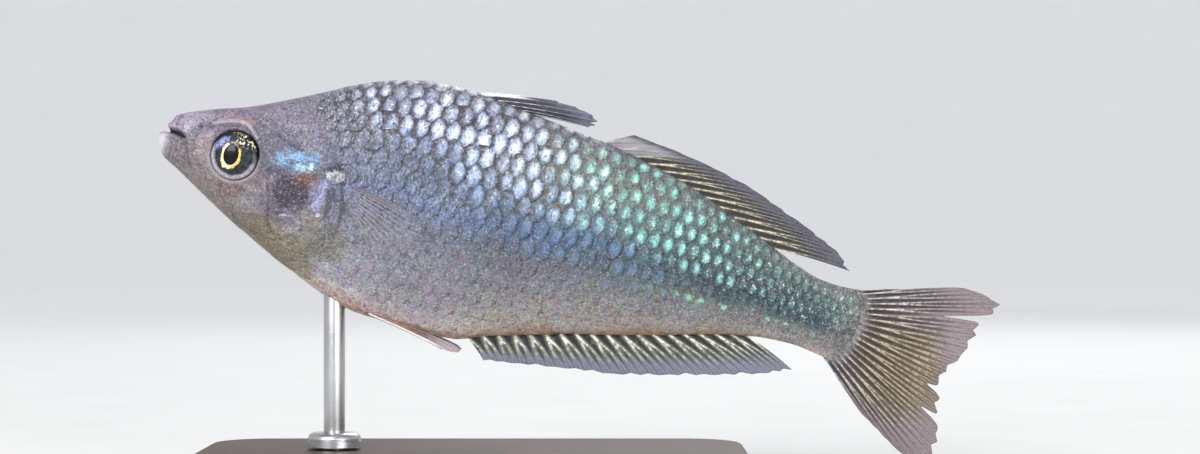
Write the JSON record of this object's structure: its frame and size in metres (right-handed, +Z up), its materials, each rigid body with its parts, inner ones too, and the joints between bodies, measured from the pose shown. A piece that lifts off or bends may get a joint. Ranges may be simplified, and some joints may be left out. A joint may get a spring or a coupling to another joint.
{
  "type": "australian rainbowfish model",
  "caption": "Life-size still model of a slender, deep-backed freshwater fish, nose up, held over a flat base by one short rod.",
  "frame": {"origin": "centre of the whole model's bounding box in X and Y, on the level of the base's underside", "axes": "+X from the snout towards the tail, +Y towards the fish's right side, +Z up"},
  "size_m": [0.0946, 0.034, 0.0465],
  "materials": {
    "skin": "silvery, wet",
    "fin_membrane": "thin, slightly clouded, with pale rays",
    "eye": "clear and glossy over a dark pupil",
    "dark_wood": "satin varnish",
    "brushed_steel": "brushed along the rod"
  },
  "bodies": {
    "root": {"head": "skin", "lower_jaw": "skin", "trunk": "skin", "tail_stem": "skin", "eye_left": "eye", "eye_right": "eye", "spiny_dorsal_fin": "fin_membrane", "soft_dorsal_fin": "fin_membrane", "anal_fin": "fin_membrane", "tail_fin": "fin_membrane", "pectoral_fin_left": "fin_membrane", "pectoral_fin_right": "fin_membrane", "pelvic_fin_left": "fin_membrane", "pelvic_fin_right": "fin_membrane", "stand_base": "dark_wood", "stand_rod": "brushed_steel", "stand_collar": "brushed_steel"}
  },
  "joints": []
}
